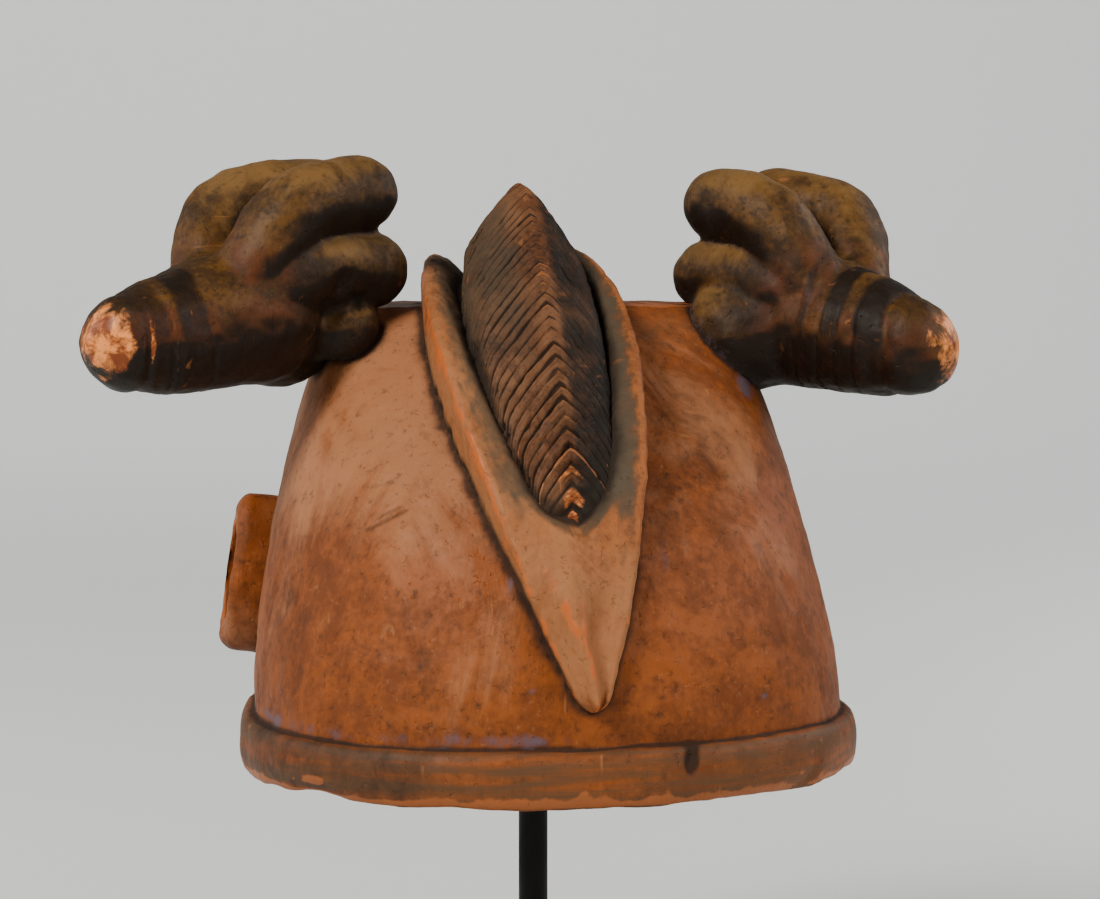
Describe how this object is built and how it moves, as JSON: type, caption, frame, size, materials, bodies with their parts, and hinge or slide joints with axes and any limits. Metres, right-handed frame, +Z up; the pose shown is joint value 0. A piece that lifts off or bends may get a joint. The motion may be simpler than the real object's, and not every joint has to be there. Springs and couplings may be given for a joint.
{
  "type": "carved wooden helmet mask on a rod stand",
  "caption": "Carved wooden gelede helmet mask with a notched crest and banded side bunches, resting on a black rod stand with a square base.",
  "frame": {"origin": "under the rod, on the surface that the stand's base stands on", "axes": "+Z up along the rod, +Y towards the mask's face, +X to the viewer's right when the mask is seen from behind"},
  "size_m": [0.3498, 0.3139, 0.4048],
  "materials": {
    "carved_wood": "worn terracotta pigment on old wood, dull satin",
    "black_steel": "satin black paint"
  },
  "bodies": {
    "root": {"mask": "carved_wood", "stand_rod": "black_steel", "stand_base": "black_steel"}
  },
  "joints": []
}
